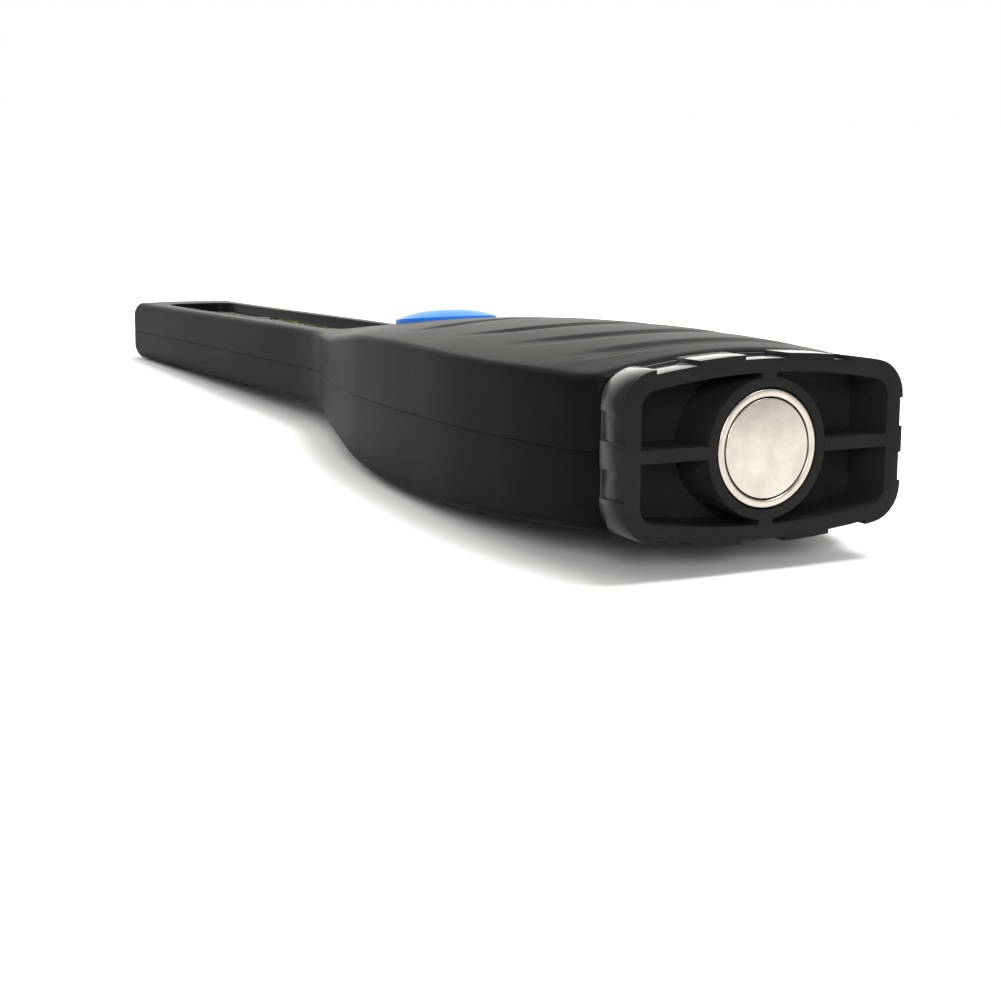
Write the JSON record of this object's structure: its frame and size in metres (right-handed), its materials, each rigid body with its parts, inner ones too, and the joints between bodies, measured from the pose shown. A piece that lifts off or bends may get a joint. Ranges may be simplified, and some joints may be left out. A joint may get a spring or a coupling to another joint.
{
  "type": "magnetic handheld work light",
  "caption": "Handheld battery work light: wide handle, slim arm with a long LED window, push button, pull-off end cap with a magnet, and a hanging hook folded into the tip.",
  "frame": {"origin": "bottom centre of the whole light, under its middle, at the level of the handle's belly", "axes": "+Y along the light from the magnet end to the tip, +X across it, +Z out of the face with the LED window and the button"},
  "size_m": [0.066, 0.28, 0.035],
  "materials": {
    "shell": "soft-touch matt black over moulded plastic",
    "cap_plastic": "satin black moulded plastic",
    "seal_rubber": "matt",
    "magnet_nickel": "nickel plated, satin, lightly scuffed",
    "button_plastic": "semi-gloss blue",
    "white_plastic": "matt white",
    "switch_plastic": "black moulded",
    "board": "green solder mask",
    "board_aluminium": "satin",
    "phosphor": "yellow phosphor in soft silicone",
    "lens": "clear polished plastic",
    "cell_jacket": "plain printed film, gloss",
    "contact_metal": "nickel plated",
    "red_insulation": "insulated wire",
    "black_insulation": "insulated wire",
    "screw_steel": "zinc plated",
    "hook_plastic": "dark grey moulded nylon"
  },
  "bodies": {
    "housing": {"front_shell": "shell", "rear_shell": "shell", "switch_body": "switch_plastic", "driver_board": "board", "led_board": "board_aluminium", "cob_strip": "phosphor", "led_reflector": "board_aluminium", "window_lens": "lens", "lens_gasket": "seal_rubber", "battery_carrier": "switch_plastic", "battery_1": "cell_jacket", "battery_2": "cell_jacket", "battery_3": "cell_jacket", "contact_spring_1": "contact_metal", "contact_spring_2": "contact_metal", "contact_spring_3": "contact_metal", "contact_bridge_rear": "contact_metal", "contact_plate_rear": "contact_metal", "contact_plate_front": "contact_metal", "contact_bridge_front": "contact_metal", "battery_lead_red": "red_insulation", "battery_lead_black": "black_insulation", "led_lead_red": "red_insulation", "led_lead_black": "black_insulation", "screw_left_handle": "screw_steel", "screw_right_handle": "screw_steel", "screw_left_neck": "screw_steel", "screw_right_neck": "screw_steel", "hook_pin": "screw_steel"},
    "button": {"switch_button": "button_plastic", "switch_plunger": "white_plastic"},
    "cap": {"end_cap": "cap_plastic", "end_cap_seal": "seal_rubber", "magnet_cup": "magnet_nickel", "magnet_disc": "magnet_nickel"},
    "hanger": {"hook": "hook_plastic"}
  },
  "joints": [
    {"name": "button_press", "type": "slide", "parent": "housing", "child": "button", "axis": [0, -0.1045, -0.9945], "range_m": [0, 0.0012], "stiffness_N_per_m": 600, "springref_m": -0.003},
    {"name": "cap_pull", "type": "slide", "parent": "housing", "child": "cap", "axis": [0, -1, 0], "range_m": [0, 0.015]},
    {"name": "hook_fold", "type": "hinge", "parent": "housing", "child": "hanger", "pos_m": [0, 0.133, 0.0121], "axis": [1, 0, 0], "range_deg": [0, 180]}
  ]
}
